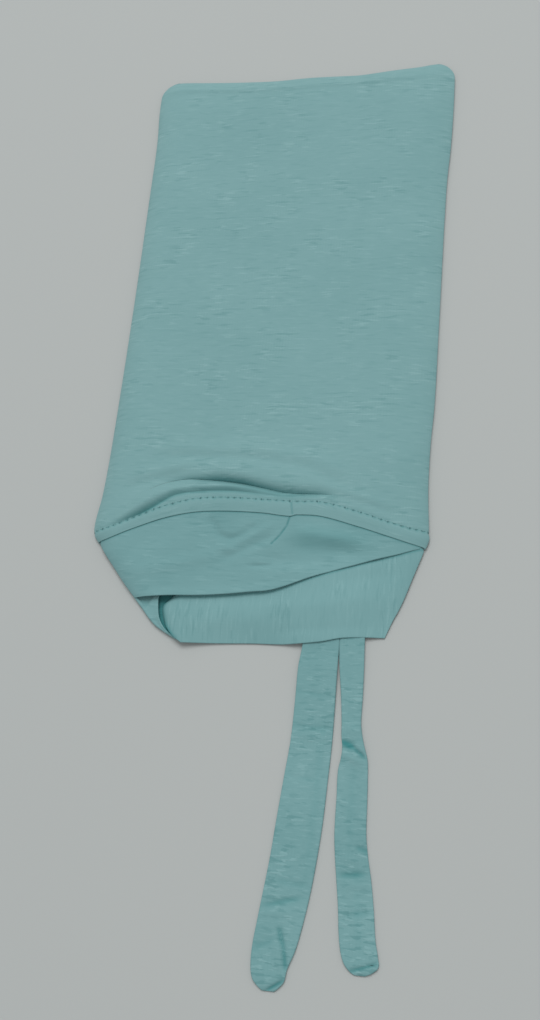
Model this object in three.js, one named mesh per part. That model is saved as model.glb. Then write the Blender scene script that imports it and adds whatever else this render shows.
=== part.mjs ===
// Criss-cross underscarf cap of knitted jersey, lying flat on its back with the ties run out.
// Millimetres, +Z up, +Y towards the closed end of the crown. The tables are measured from the
// mouth's side corners, and the whole cap is then set with its middle over the origin.
import * as THREE from 'three';

// Driving dimensions
const JERSEY = 1.2; // wall of the knitted cloth
const RIM_WALL = 1.4; // wall of the folded rim
const GAP = 0.3; // kept between pieces that are sewn together
const CLOSED_END = 400; // from the mouth to the closed end of the crown
const TO_MIDDLE = 60.8; // from the mouth's corners to the middle of the whole cap
const SIDE_Z = 2.5; // height of the outermost line of a side fold
const THIN_SIDE = 0.45; // or this share of the full height, where the crown is thin
const ROLL = 40; // width over which the top falls away to a side fold
const UNDER_ROLL = 12; // width over which the underside lifts to a side fold
const CORNER = 14; // radius of the closed end's corners
const TIE_THICK = 1.8; // a tie is a narrow tube of jersey, pressed flat
const JERSEY_COLOUR = '#79a2a2';

// The cap's side folds from above, from the foot of the cross bands to the closed end
const SIDE_FOLDS = [
  { y: -77, left: -43, right: 89.5 },
  { y: -66, left: -60.2, right: 93.3 },
  { y: -54, left: -72.6, right: 99 },
  { y: -47, left: -78.3, right: 102 },
  { y: -26, left: -99, right: 108.6 },
  { y: -8, left: -112, right: 114.6 },
  { y: 2, left: -118.5, right: 118 },
  { y: 60, left: -116.8, right: 117 },
  { y: 200, left: -117.6, right: 118.2 },
  { y: 300, left: -118.6, right: 119.4 },
  { y: 372, left: -121, right: 121 },
  { y: 400, left: -121, right: 121 },
];
// Height of the crown's top along its middle
const CROWN_HEIGHT = [
  { y: -12, top: 11.2 },
  { y: 27, top: 11.4 },
  { y: 60, top: 11 },
  { y: 100, top: 9.8 },
  { y: 160, top: 9.1 },
  { y: 260, top: 9 },
  { y: 360, top: 8.6 },
];
// The closed end's fall to its turned seam, by distance from the end
const END_FALL = [
  { from: 0, share: 0.3, lift: 0.8 },
  { from: 1, share: 0.42, lift: 0.4 },
  { from: 3.5, share: 0.57, lift: 0.1 },
  { from: 8, share: 0.76, lift: 0 },
  { from: 13, share: 0.93, lift: 0 },
  { from: 20, share: 0.92, lift: 0 },
  { from: 34, share: 1, lift: 0 },
];
// The closed end's own line, and the two edges of the rim on the front of the cap
const FRONT_LINES = [
  { x: -119, end: 399.6, seam: 0, hem: -7.6 },
  { x: -105, end: 400.8, seam: 2.8, hem: -5.2 },
  { x: -86, end: 399.6, seam: 10.8, hem: 2.4 },
  { x: -66, end: 398.2, seam: 19.2, hem: 10 },
  { x: -45, end: 397.2, seam: 25, hem: 14.8 },
  { x: -24, end: 397, seam: 26.6, hem: 16.3 },
  { x: 4, end: 397.6, seam: 25.8, hem: 15.8 },
  { x: 26, end: 398.4, seam: 25, hem: 14.6 },
  { x: 46, end: 399.4, seam: 24.8, hem: 14.8 },
  { x: 72, end: 401.8, seam: 18.4, hem: 8.4 },
  { x: 92, end: 404, seam: 12.2, hem: 2.6 },
  { x: 106, end: 405.6, seam: 9, hem: -1 },
  { x: 119, end: 404.6, seam: 7.6, hem: -3.6 },
];
// The same two edges on the back, which lies underneath
const BACK_LINES = [
  { x: -119, seam: 0, hem: -7.6 },
  { x: 0, seam: 2, hem: -6.4 },
  { x: 119, seam: 7.6, hem: -3.6 },
];
// The crease just behind the rim: its distance from the seam and the height of the fold above it
const CREASE = [
  { x: -110, from: 2, rise: 0 },
  { x: -92, from: 3, rise: 0.9 },
  { x: -70, from: 7.5, rise: 1.8 },
  { x: -50, from: 15, rise: 2.4 },
  { x: -20, from: 13, rise: 2.5 },
  { x: 4, from: 9.5, rise: 2.4 },
  { x: 18, from: 6.5, rise: 2.2 },
  { x: 40, from: 6, rise: 1.6 },
  { x: 58, from: 6, rise: 0.5 },
  { x: 80, from: 6, rise: 0 },
];
const CREASE_WIDTH = 3;
const CREASE_DEPTH = 0.35; // as a share of the fold's height
const FOLD_BEHIND = 8; // from the crease to the crest of the fold
const FOLD_WIDTH = 7.5;
// Tops of the two cross bands, where the inner lies over the outer at the middle of the mouth
const BAND_TOPS = [
  { y: -80, inner: 8.5, outer: 6.9 },
  { y: -45, inner: 8.6, outer: 7 },
  { y: -25, inner: 8.8, outer: 7.1 },
  { y: -9, inner: 9.3, outer: 7.4 },
  { y: 27, inner: 9.6, outer: 7.6 },
];
const TUCKED = { side: 3.1, inset: 3.4 }; // the inner band's side fold where the rim holds it
const OUTER_SIDE_Z = 3.1; // the outer band's side fold
const OUTER_CORNER_Z = 5.2; // and its lower left corner, which lies on the nape band's fold
// Free edge of the inner cross band, from its left fold to the point at its right
const INNER_EDGE = [
  { x: -78, y: -46.8 },
  { x: -53, y: -45 },
  { x: -14, y: -42.4 },
  { x: 14, y: -38.8 },
  { x: 33, y: -32 },
  { x: 54, y: -24.1 },
  { x: 84, y: -14.5 },
  { x: 110, y: -5.7 },
  { x: 116, y: -3.6 },
];
// The outer cross band: its folded lower edge, and its hidden upper edge under the inner band
const OUTER_EDGE = [
  { x: -43, low: -76.6, high: -34 },
  { x: -17, low: -75.3, high: -31 },
  { x: 5, low: -74.2, high: -27 },
  { x: 30, low: -73.6, high: -20 },
  { x: 51, low: -71.1, high: -12.5 },
  { x: 67, low: -67.6, high: -12 },
  { x: 95, low: -65.8, high: -10.6 },
  { x: 116, low: -65, high: -6 },
];
// Its left end, turned down inside the ring that the bands make
const OUTER_LEFT = [
  { y: -76.7, x: -42.9 },
  { y: -72.3, x: -49.2 },
  { y: -65.6, x: -54.5 },
  { y: -58, x: -57.6 },
  { y: -51, x: -58.8 },
  { y: -45.5, x: -54.4 },
  { y: -38, x: -51 },
];
const OUTER_LEFT_ROLL = 11;
// The nape band wraps round the left side: how far its fold comes back over, and its inset
const NAPE_LEFT = [
  { y: -76, over: 0.3, inset: 1.5, rise: 0 },
  { y: -72, over: 0.4, inset: 0.6, rise: 0.1 },
  { y: -66, over: 2.2, inset: 0.3, rise: 0.5 },
  { y: -60, over: 4.9, inset: 0.3, rise: 0.9 },
  { y: -54, over: 9.5, inset: 0.3, rise: 1.1 },
  { y: -47, over: 12, inset: 2, rise: 0.8 },
  { y: -42, over: 11, inset: 4.4, rise: 0.4 },
  { y: -30, over: 5, inset: 5, rise: 0 },
  { y: -16, over: 1.5, inset: 7, rise: 0 },
  { y: -8, over: 0.8, inset: 10, rise: 0 },
];
const NAPE_RIGHT_INSET = 3.6;
const NAPE_EDGE_BACK = 4; // the nape band's lower edge lies this far inside the outer band's
const NAPE_TUCK = 2; // and its upper edge this far below the back seam
const NAPE_FOLD_RADIUS = 1.1;
const NAPE_RAMP = { low: -17, high: -11 }; // where it climbs over the rim's back wall
// Ties: the two edges from above and the thickness, from under the bands to the sewn tip
const LEFT_TIE = [
  { y: -56, left: 40.4, right: 63.3, thick: 1 },
  { y: -64, left: 40.3, right: 63.3, thick: 1 },
  { y: -71, left: 40.2, right: 63.4, thick: 1 },
  { y: -78, left: 39.6, right: 63.4, thick: 1 },
  { y: -88, left: 38.5, right: 63.4, thick: 1 },
  { y: -110, left: 38.3, right: 63.5, thick: 1 },
  { y: -136, left: 37.6, right: 63.4, thick: 1 },
  { y: -160, left: 35, right: 62.5, thick: 1 },
  { y: -187, left: 32.6, right: 61.3, thick: 1 },
  { y: -209, left: 30.8, right: 59.4, thick: 1 },
  { y: -229, left: 28.5, right: 57, thick: 1 },
  { y: -246, left: 26.5, right: 54.1, thick: 1 },
  { y: -261, left: 24.9, right: 50.8, thick: 1.1 },
  { y: -272, left: 25.1, right: 46.8, thick: 1.3 },
  { y: -279, left: 26.8, right: 45, thick: 1.3 },
  { y: -282.6, left: 30, right: 42.2, thick: 1.1 },
  { y: -284, left: 33.6, right: 39.4, thick: 0.8 },
];
const RIGHT_TIE = [
  { y: -56, left: 64.8, right: 80.8, thick: 1 },
  { y: -64, left: 64.7, right: 80.9, thick: 1 },
  { y: -71, left: 64.6, right: 81, thick: 1 },
  { y: -78, left: 65.2, right: 81.3, thick: 1 },
  { y: -89, left: 66.5, right: 81.7, thick: 1 },
  { y: -105, left: 68.6, right: 82, thick: 1.1 },
  { y: -122, left: 70.5, right: 82.1, thick: 1.3 },
  { y: -131, left: 71.1, right: 83.6, thick: 1.6 },
  { y: -138, left: 72.2, right: 85.6, thick: 1.7 },
  { y: -145, left: 71.8, right: 87.7, thick: 1.4 },
  { y: -153, left: 70.5, right: 88.4, thick: 1.1 },
  { y: -168, left: 70.8, right: 89.1, thick: 1 },
  { y: -191, left: 71.2, right: 90, thick: 1.1 },
  { y: -204, left: 72.5, right: 92, thick: 1 },
  { y: -217, left: 74.3, right: 94.7, thick: 1 },
  { y: -234, left: 76.7, right: 97.4, thick: 1 },
  { y: -250, left: 79.2, right: 99.4, thick: 1 },
  { y: -260, left: 81.2, right: 101.6, thick: 1.1 },
  { y: -265.5, left: 83.6, right: 102.1, thick: 1.2 },
  { y: -269, left: 87, right: 98.2, thick: 1.1 },
  { y: -270.8, left: 90, right: 94.4, thick: 0.8 },
];
const TIE_SECTION = [
  { across: 0, up: 0.5 },
  { across: 0.07, up: 1 },
  { across: 0.5, up: 1 },
  { across: 0.93, up: 1 },
  { across: 1, up: 0.5 },
  { across: 0.93, up: 0 },
  { across: 0.5, up: 0 },
  { across: 0.07, up: 0 },
];
const TIE_DROP = { low: -79, high: -71 }; // where the ties come off the nape band to the floor

// Places across the cap as shares of its half width, close together at the side folds
const HALF_ACROSS = [0.16, 0.32, 0.47, 0.6, 0.71, 0.8, 0.87, 0.93, 0.97, 0.992];
const ACROSS = [-1, ...HALF_ACROSS.map((share) => -share).reverse(), 0, ...HALF_ACROSS, 1];
const UNDERSIDE = [0.985, 0.955, 0.9, 0.5, 0.12, -0.12, -0.5, -0.9, -0.955, -0.985];
// Places along the crown, from its seam with the rim and from its closed end
const FROM_SEAM = [0, 3, 6, 9, 12.5, 16, 20, 25, 31, 39, 50, 66, 90, 125, 175, 230, 285];
const FROM_END = [60, 34, 24, 17, 12, 8, 5, 3.5];
const OVER_THE_END = [2, 0.9, 0.3, 0];

const lerp = THREE.MathUtils.lerp;
const clamp = THREE.MathUtils.clamp;
const bell = (distance, width) => Math.exp(-((distance / width) ** 2));

// Reads a table as a smooth curve: the value of one column at a place in another
function track(rows, along, column) {
  const slope = (i) => {
    const before = rows[Math.max(0, i - 1)];
    const after = rows[Math.min(rows.length - 1, i + 1)];
    return (after[column] - before[column]) / (after[along] - before[along]);
  };
  return (place) => {
    const at = clamp(place, rows[0][along], rows.at(-1)[along]);
    const i = Math.max(1, rows.findIndex((row) => row[along] >= at));
    const step = rows[i][along] - rows[i - 1][along];
    const t = (at - rows[i - 1][along]) / step;
    const rise = 3 * t ** 2 - 2 * t ** 3;
    const level = lerp(rows[i - 1][column], rows[i][column], rise);
    return level + step * (slope(i - 1) * (t ** 3 - 2 * t ** 2 + t) + slope(i) * (t ** 3 - t ** 2));
  };
}

// From 0 to 1 between two places, easing in and out
function ease(from, to, place) {
  return THREE.MathUtils.smoothstep(place, from, to);
}

const leftFold = track(SIDE_FOLDS, 'y', 'left');
const rightFold = track(SIDE_FOLDS, 'y', 'right');
const crownHeight = track(CROWN_HEIGHT, 'y', 'top');
const endShare = track(END_FALL, 'from', 'share');
const endLift = track(END_FALL, 'from', 'lift');
const endLine = track(FRONT_LINES, 'x', 'end');
const front = { seam: track(FRONT_LINES, 'x', 'seam'), hem: track(FRONT_LINES, 'x', 'hem') };
const back = { seam: track(BACK_LINES, 'x', 'seam'), hem: track(BACK_LINES, 'x', 'hem') };
const creaseFrom = track(CREASE, 'x', 'from');
const creaseRise = track(CREASE, 'x', 'rise');

// How full the cap is at a distance from its side fold, from 0 at the fold to 1 inside the roll
function fullness(distance) {
  return Math.sqrt(1 - (1 - clamp(distance / ROLL, 0, 1)) ** 3);
}

function fromSideFold(x, y, inset = 0) {
  return Math.min(x - leftFold(y), rightFold(y) - x) - inset;
}

// The crown and rim's top surface, with the fold behind the rim
function topOfCrown(x, y) {
  const fromEnd = endLine(x) - y;
  const full = crownHeight(y) * endShare(fromEnd);
  const fold = Math.min(SIDE_Z, THIN_SIDE * full);
  const fromCrease = y - front.seam(x) - creaseFrom(x);
  const crest = bell(fromCrease - FOLD_BEHIND, FOLD_WIDTH) - CREASE_DEPTH * bell(fromCrease, CREASE_WIDTH);
  const corner = cornerInset(fromEnd);
  const filled = fullness(fromSideFold(x, y, corner));
  return fold + (full - fold) * filled + crest * creaseRise(x) + endLift(fromEnd) * (1 - filled);
}

function underCrown(x, y) {
  const fromEnd = endLine(x) - y;
  const fold = Math.min(SIDE_Z, THIN_SIDE * crownHeight(y) * endShare(fromEnd));
  const inside = clamp(fromSideFold(x, y, cornerInset(fromEnd)) / UNDER_ROLL, 0, 1);
  return fold * (1 - Math.sqrt(1 - (1 - inside) ** 2)) + endLift(fromEnd);
}

// The rounded corners of the closed end, as an inset of the side folds
function cornerInset(fromEnd) {
  const short = Math.max(0, CORNER - Math.max(0, fromEnd));
  return CORNER - Math.sqrt(CORNER ** 2 - short ** 2);
}

// A solid from its points and faces, turned so that its faces point outwards
function solid(points, faces) {
  const volume = faces.reduce((sum, [a, b, c]) => {
    return sum + points[a].dot(new THREE.Vector3().crossVectors(points[b], points[c]));
  }, 0);
  const turned = volume > 0 ? faces : faces.map(([a, b, c]) => [a, c, b]);
  const geometry = new THREE.BufferGeometry().setFromPoints(points);
  geometry.setIndex(turned.flat());
  geometry.computeVertexNormals();
  return geometry;
}

// Faces between rows of points, each row starting at an index in starts
function strip(starts, count, closed) {
  const faces = [];
  for (let row = 0; row + 1 < starts.length; row++) {
    for (let i = 0; i < (closed ? count : count - 1); i++) {
      const next = (i + 1) % count;
      const [a, b] = [starts[row], starts[row + 1]];
      faces.push([a + i, a + next, b + next], [a + i, b + next, b + i]);
    }
  }
  return faces;
}

// A fan that closes a ring round its middle
function fan(points, start, count, flip) {
  const middle = new THREE.Vector3();
  for (let i = 0; i < count; i++) middle.addScaledVector(points[start + i], 1 / count);
  const centre = points.push(middle) - 1;
  return Array.from({ length: count }, (_, i) => {
    const [a, b] = [start + i, start + ((i + 1) % count)];
    return flip ? [centre, b, a] : [centre, a, b];
  });
}

const startsOf = (first, rows, count) => Array.from({ length: rows }, (_, row) => first + row * count);

// Closed rings lofted into a solid bar
function loft(rings) {
  const count = rings[0].length;
  const points = rings.flat();
  const faces = strip(startsOf(0, rings.length, count), count, true);
  faces.push(...fan(points, 0, count, true), ...fan(points, (rings.length - 1) * count, count, false));
  return solid(points, faces);
}

// A hollow of rings: the outer wall, then the inner wall back again. Open at both ends, or shut at the last.
function tube(outer, inner, shutEnd) {
  const count = outer[0].length;
  const points = [...outer, ...inner].flat();
  const innerStart = outer.length * count;
  const outerStarts = startsOf(0, outer.length, count);
  const innerStarts = startsOf(innerStart, inner.length, count);
  if (shutEnd) {
    const faces = strip([...outerStarts.toReversed(), ...innerStarts], count, true);
    faces.push(...fan(points, outerStarts.at(-1), count, true));
    faces.push(...fan(points, innerStarts.at(-1), count, false));
    return solid(points, faces);
  }
  return solid(points, strip([...outerStarts, ...innerStarts.toReversed(), outerStarts[0]], count, true));
}

// A sheet of cloth: the grid of its top, and a copy of it the cloth's thickness below
function sheet(grid, thickness) {
  const [rows, count] = [grid.length, grid[0].length];
  const along = new THREE.Vector3();
  const across = new THREE.Vector3();
  const rings = grid.map((row, r) => {
    const under = row.map((point, c) => {
      along.subVectors(grid[Math.min(rows - 1, r + 1)][c], grid[Math.max(0, r - 1)][c]);
      across.subVectors(row[Math.min(count - 1, c + 1)], row[Math.max(0, c - 1)]);
      return point.clone().addScaledVector(across.cross(along).normalize(), -thickness);
    });
    return [...row, ...under.toReversed()];
  });
  const ring = 2 * count;
  const faces = strip(startsOf(0, rows, ring), ring, true);
  for (const [start, flip] of [[0, true], [(rows - 1) * ring, false]]) {
    for (let i = 0; i + 1 < count; i++) {
      const quad = [start + i, start + i + 1, start + ring - 2 - i, start + ring - 1 - i];
      const [a, b, c, d] = flip ? quad.toReversed() : quad;
      faces.push([a, b, c], [a, c, d]);
    }
  }
  return solid(rings.flat(), faces);
}

// A ring's points moved inwards by the wall, in the ring's own upright plane
function inward(ring, wall) {
  return ring.map((point, i) => {
    const before = ring.at(i - 1);
    const after = ring[(i + 1) % ring.length];
    const into = new THREE.Vector3(after.z - before.z, 0, before.x - after.x).normalize();
    return point.clone().addScaledVector(into, wall);
  });
}

// A point of the cap's outside for a share across it, with its place along worked out by lineAt
function outsidePoint(share, onTop, lineAt) {
  let [x, y] = [0, lineAt(0)];
  for (let round = 0; round < 8; round++) {
    const inset = cornerInset(endLine(x) - y);
    x = lerp(leftFold(y) + inset, rightFold(y) - inset, (share + 1) / 2);
    y = lineAt(x);
  }
  return new THREE.Vector3(x, y, onTop ? topOfCrown(x, y) : underCrown(x, y));
}

// A ring right round the cap, over the top from left to right and back underneath
function ringRound(frontLine, backLine) {
  return [
    ...ACROSS.map((share) => outsidePoint(share, true, frontLine)),
    ...UNDERSIDE.map((share) => outsidePoint(share, false, backLine)),
  ];
}

function crown() {
  const ringFromSeam = (from) => {
    const lineAt = (edge) => (x) => lerp(edge.seam(x), endLine(x), from / CLOSED_END);
    return ringRound(lineAt(front), lineAt(back));
  };
  const ringFromEnd = (from) => {
    const line = (x) => endLine(x) - from;
    return ringRound(line, line);
  };
  const walls = [...FROM_SEAM.map(ringFromSeam), ...FROM_END.map(ringFromEnd)];
  const nose = OVER_THE_END.map(ringFromEnd);
  return tube([...walls, ...nose], walls.map((ring) => inward(ring, JERSEY)), true);
}

function rimBinding() {
  const rings = [0, 0.2, 0.6, 1].map((share) => {
    const lineAt = (edge) => (x) => lerp(edge.hem(x), edge.seam(x) - GAP, share);
    return ringRound(lineAt(front), lineAt(back));
  });
  return tube(rings, rings.map((ring) => inward(ring, RIM_WALL)), false);
}

// A cross band's top, as rows from its lower edge to its upper one
function bandGrid(band) {
  return band.rows.map((row) => band.across.map((share) => {
    let [x, y] = [0, band.low(0)];
    for (let round = 0; round < 10; round++) {
      x = lerp(band.left(y), band.right(y), share);
      y = lerp(band.low(x), band.high(x), row);
    }
    return new THREE.Vector3(x, y, band.height(x, y));
  }));
}

// The upper of the two bands, from its broad left end to a point at the right
function innerCrossBand() {
  const inset = (y) => lerp(0.2, TUCKED.inset, ease(-15, -9, y));
  const full = track(BAND_TOPS, 'y', 'inner');
  return sheet(bandGrid({
    rows: [0, 0.12, 0.3, 0.5, 0.68, 0.82, 0.92, 1],
    across: ACROSS.map((share) => (share + 1) / 2),
    left: (y) => leftFold(y) + inset(y),
    right: (y) => rightFold(y) - inset(y),
    low: track(INNER_EDGE, 'x', 'y'),
    high: (x) => front.seam(x) - NAPE_TUCK,
    height: (x, y) => {
      const side = lerp(SIDE_Z, TUCKED.side, ease(-15, -9, y));
      return lerp(side, full(y), fullness(fromSideFold(x, y, inset(y))));
    },
  }), JERSEY);
}

// The lower band, which passes under the inner one and is turned down at its left end
function outerCrossBand() {
  const inset = (y) => lerp(0.2, RIM_WALL + JERSEY + 3 * GAP, ease(-9, -5, y));
  const leftEnd = track(OUTER_LEFT, 'y', 'x');
  const full = track(BAND_TOPS, 'y', 'outer');
  return sheet(bandGrid({
    rows: [0, 0.1, 0.25, 0.42, 0.6, 0.8, 1],
    across: [0, 0.012, 0.035, 0.07, 0.13, 0.24, 0.38, 0.52, 0.65, 0.76, 0.85, 0.915, 0.96, 0.987, 1],
    left: leftEnd,
    right: (y) => rightFold(y) - inset(y),
    low: track(OUTER_EDGE, 'x', 'low'),
    high: track(OUTER_EDGE, 'x', 'high'),
    height: (x, y) => {
      const atRight = fullness(rightFold(y) - inset(y) - x);
      const atLeft = Math.sqrt(1 - (1 - clamp((x - leftEnd(y)) / OUTER_LEFT_ROLL, 0, 1)) ** 2);
      const side = x > 0 ? OUTER_SIDE_Z : lerp(OUTER_CORNER_Z, OUTER_SIDE_Z, ease(-70, -61, y));
      return lerp(side, full(y), Math.min(atRight, atLeft));
    },
  }), JERSEY);
}

// The back band: flat underneath, wrapped round the left side and back over itself
function napeBand() {
  const over = track(NAPE_LEFT, 'y', 'over');
  const inset = track(NAPE_LEFT, 'y', 'inset');
  const rise = track(NAPE_LEFT, 'y', 'rise');
  const outerLow = track(OUTER_EDGE, 'x', 'low');
  const low = (x) => outerLow(x) + NAPE_EDGE_BACK;
  const high = (x) => back.seam(x) - NAPE_TUCK;
  const flat = [1, 0.88, 0.7, 0.5, 0.3, 0.14, 0.05, 0];
  const turn = [30, 60, 90, 120, 150, 180];
  const grid = [0, 0.05, 0.12, 0.2, 0.3, 0.4, 0.52, 0.66, 0.78, 0.86, 0.93, 1].map((row) => {
    const middles = flat.map((share) => {
      let [x, y] = [0, low(0)];
      for (let round = 0; round < 10; round++) {
        const leftEnd = leftFold(y) + inset(y) + NAPE_FOLD_RADIUS + JERSEY / 2;
        x = lerp(leftEnd, rightFold(y) - NAPE_RIGHT_INSET - inset(y) / 2, share);
        y = lerp(low(x), high(x), row);
      }
      const climb = ease(NAPE_RAMP.low, NAPE_RAMP.high, y) * (RIM_WALL + 2 * GAP);
      return new THREE.Vector3(x, y, JERSEY / 2 + climb);
    });
    const foot = middles.at(-1);
    for (const angle of turn) {
      const around = THREE.MathUtils.degToRad(angle);
      const step = new THREE.Vector3(-Math.sin(around), 0, 1 - Math.cos(around));
      middles.push(foot.clone().addScaledVector(step, NAPE_FOLD_RADIUS));
    }
    const top = middles.at(-1);
    for (const share of [0.35, 0.7, 1]) {
      middles.push(top.clone().add(new THREE.Vector3(over(foot.y) * share, 0, rise(foot.y) * share ** 2)));
    }
    return middles;
  });
  const raised = grid.map((row) => row.map((point, i) => {
    const before = row[Math.max(0, i - 1)];
    const after = row[Math.min(row.length - 1, i + 1)];
    const normal = new THREE.Vector3(before.z - after.z, 0, after.x - before.x).normalize();
    return point.clone().addScaledVector(normal, JERSEY / 2);
  }));
  return sheet(raised, JERSEY);
}

// A tie: a flat bar with round edges, on the nape band at its sewn end and then on the floor
function tie(rows) {
  return loft(rows.map((row) => {
    const floor = ease(TIE_DROP.low, TIE_DROP.high, row.y) * (JERSEY + GAP);
    return TIE_SECTION.map(({ across, up }) => {
      return new THREE.Vector3(lerp(row.left, row.right, across), row.y, floor + up * row.thick * TIE_THICK);
    });
  }));
}

const cap = new THREE.Group();
const pieces = {
  crown: crown(),
  rim_binding: rimBinding(),
  inner_cross_band: innerCrossBand(),
  outer_cross_band: outerCrossBand(),
  nape_band: napeBand(),
  left_tie: tie(LEFT_TIE),
  right_tie: tie(RIGHT_TIE),
};
for (const [name, geometry] of Object.entries(pieces)) {
  const jersey = new THREE.MeshStandardMaterial({ color: JERSEY_COLOUR, roughness: 0.9, metalness: 0 });
  const mesh = new THREE.Mesh(geometry, jersey);
  mesh.name = name;
  cap.add(mesh);
}
cap.position.y = -TO_MIDDLE;

export default cap;
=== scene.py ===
# Criss-cross underscarf cap of slubbed jersey, laid flat on its back with the ties run out.
# Sizes are millimetres from the mouth's side corners: x to the right, y towards the closed end
# and z up from the surface that the cap lies on. sew() turns them into the frame's metres.
import math

import bpy
import numpy as np
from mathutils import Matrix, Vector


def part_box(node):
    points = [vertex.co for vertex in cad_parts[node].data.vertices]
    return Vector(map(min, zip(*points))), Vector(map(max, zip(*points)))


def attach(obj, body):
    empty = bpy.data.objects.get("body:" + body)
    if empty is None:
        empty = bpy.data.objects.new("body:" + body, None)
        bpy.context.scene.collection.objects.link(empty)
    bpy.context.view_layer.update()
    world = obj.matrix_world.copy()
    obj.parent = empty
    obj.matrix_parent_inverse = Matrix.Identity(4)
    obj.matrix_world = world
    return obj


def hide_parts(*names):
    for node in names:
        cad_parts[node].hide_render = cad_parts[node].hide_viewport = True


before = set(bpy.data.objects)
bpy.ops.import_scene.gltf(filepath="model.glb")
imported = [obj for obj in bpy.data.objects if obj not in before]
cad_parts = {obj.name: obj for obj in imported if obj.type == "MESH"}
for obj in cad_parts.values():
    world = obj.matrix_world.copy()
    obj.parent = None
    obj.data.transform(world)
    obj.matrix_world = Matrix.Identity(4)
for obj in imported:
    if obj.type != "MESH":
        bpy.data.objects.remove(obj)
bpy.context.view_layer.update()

# Camera: over the ties, looking steeply down along the cap, and turned a little on its own axis.
# Its place was fitted to the photograph's perspective of the crown's four corners.
PHOTO_HEIGHT = 1020
FOCAL_LENGTH = 1072.6  # in the photograph's pixels
SENSOR = 36
CAMERA_PLACE = (0.1663, -0.2931, 0.6905)
CAMERA_TURN = (20.935, 10.873, 5.684)  # degrees

bpy.ops.object.camera_add(location=CAMERA_PLACE, rotation=[math.radians(a) for a in CAMERA_TURN])
camera = bpy.context.object
camera.name = "camera"
camera.data.sensor_width = SENSOR
camera.data.lens = FOCAL_LENGTH / PHOTO_HEIGHT * SENSOR
bpy.context.scene.camera = camera

# Table and light: a plain pale matt surface under one broad soft light, high beyond the closed end,
# with light from all round it, so that only hollows and what hangs over are in shade.
FLOOR_SIZE = 12
FLOOR_DROP = 0.0002  # how far it is below the cap
FLOOR_GREY = (0.498, 0.528, 0.521, 1)
FLOOR_ROUGHNESS = 0.75
FLOOR_SHINE = 0.2
ROOM_LIGHT = 0.47
WHITE = (1, 1, 1, 1)
LAMP_PLACE = (-0.1, 3.1, 5.7)
LAMP_SIZE = 4.4
LAMP_POWER = 204

bpy.ops.object.select_all(action="DESELECT")
bpy.ops.mesh.primitive_plane_add(size=FLOOR_SIZE, location=(0, 0, -FLOOR_DROP))
floor = bpy.context.object
floor.name = "table_top"
paint = bpy.data.materials.new("matt table")
paint.use_nodes = True
paint_shader = paint.node_tree.nodes["Principled BSDF"]
paint_shader.inputs["Base Color"].default_value = FLOOR_GREY
paint_shader.inputs["Roughness"].default_value = FLOOR_ROUGHNESS
paint_shader.inputs["Specular IOR Level"].default_value = FLOOR_SHINE
floor.data.materials.append(paint)

bpy.ops.object.light_add(type="AREA", location=LAMP_PLACE)
lamp = bpy.context.object
lamp.name = "soft_lamp"
lamp.data.shape = "DISK"
lamp.data.size = LAMP_SIZE
lamp.data.energy = LAMP_POWER
lamp.rotation_euler = lamp.location.to_track_quat("Z", "Y").to_euler()

room = bpy.data.worlds.new("room")
room.use_nodes = True
room.node_tree.nodes["Background"].inputs["Color"].default_value = WHITE
room.node_tree.nodes["Background"].inputs["Strength"].default_value = ROOM_LIGHT
bpy.context.scene.world = room
bpy.context.scene.view_settings.view_transform = "Standard"


# Crown: a long tube of single jersey, closed at its far end by a seam that is turned inside.
# It lies flat, with soft rolled sides, and behind the rim it has slumped into two folds.
JERSEY = 1.2
SIDE_Z = 2  # height of the outermost line of a side fold
THIN_SIDE = 0.45  # or this share of the full height, where the crown is thin
ROLL = 32  # width over which the top falls away to a side fold
UNDER_ROLL = 12
RIGHT_SLOPE = 0.55  # the right side falls away more gently, by this share
CORNER = 14  # radius of the closed end's corners
NOSE = 2.4  # how far the round of the closed seam reaches in from the end
SIDES = np.array([-119.0, 119.0])
MOUTH_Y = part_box("crown")[0].y  # the frame's place for y 0
UNDER_RIM = 0.3  # how far the crown dips to pass inside the rim's doubled cloth
RIM_LIFT = 0.45  # how far the doubled cloth holds the back off the surface
MAIN_FOLD_BACK = 15  # how far the main fold runs back from its crest
MAIN_LEAN = 1.2  # how far it hangs over its crease
LEANS_FROM = 2.5  # the height of the main fold from which it hangs over in full
MAIN_PINCH = (2.2, 3.2)  # how far the main crease draws the cloth down before it and behind it
NEAR_DIP = 0.3  # the depth of the crease nearest the rim, as a share of its fold's height
NEAR_PINCH = (1.6, 2.4)
MAIN_SHADE = 0.15  # how much shade is painted for each millimetre of the main crease's depth
MAIN_SHADE_BACK = 1.9  # how far behind the crease that reaches
NEAR_SHADE = 0.21  # and for each millimetre of the near fold's height
HEM_DROP = 0.95  # how far the hem is pressed down on the bands
HEM_SLOPE = 9  # width over which the crown rises from there
RIM_EASE = (4, 16)  # from the back's seam, where the underside comes down off the doubled cloth
SIDE_WALL = 0.4  # share of the wall's thickness that is left at a side fold
SIDE_WALL_EASE = 5
HEM_WALL = 0.4  # and inside the rim
HEMMED = (0.2, 2.4)  # from the stitches, where the cloth comes out of the rim
TURNS = 12  # rounds in which a ring of the crown settles between its side folds
CROWN_HALF = 60  # columns of cloth on each side of the middle of the top
PAST_FOLDS = 66  # y where the folds behind the rim have ended
FAR_PART = 36  # length of the part at the closed end that has closer rows
LINING_STOP = 14  # this many of the outside's last rows have none inside them
LINING_END = 16  # from the closed end to the end of the inside
RIB_PITCH = 0.0021
FULL_PAINTED_SHADE = (0.3, 0.66, 0.66)  # painted shade: the share of each colour that is left where shade is painted in full
CROWN_LOW = (0.17, 0.352, 0.361)
CROWN_HIGH = (0.262, 0.464, 0.475)


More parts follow.
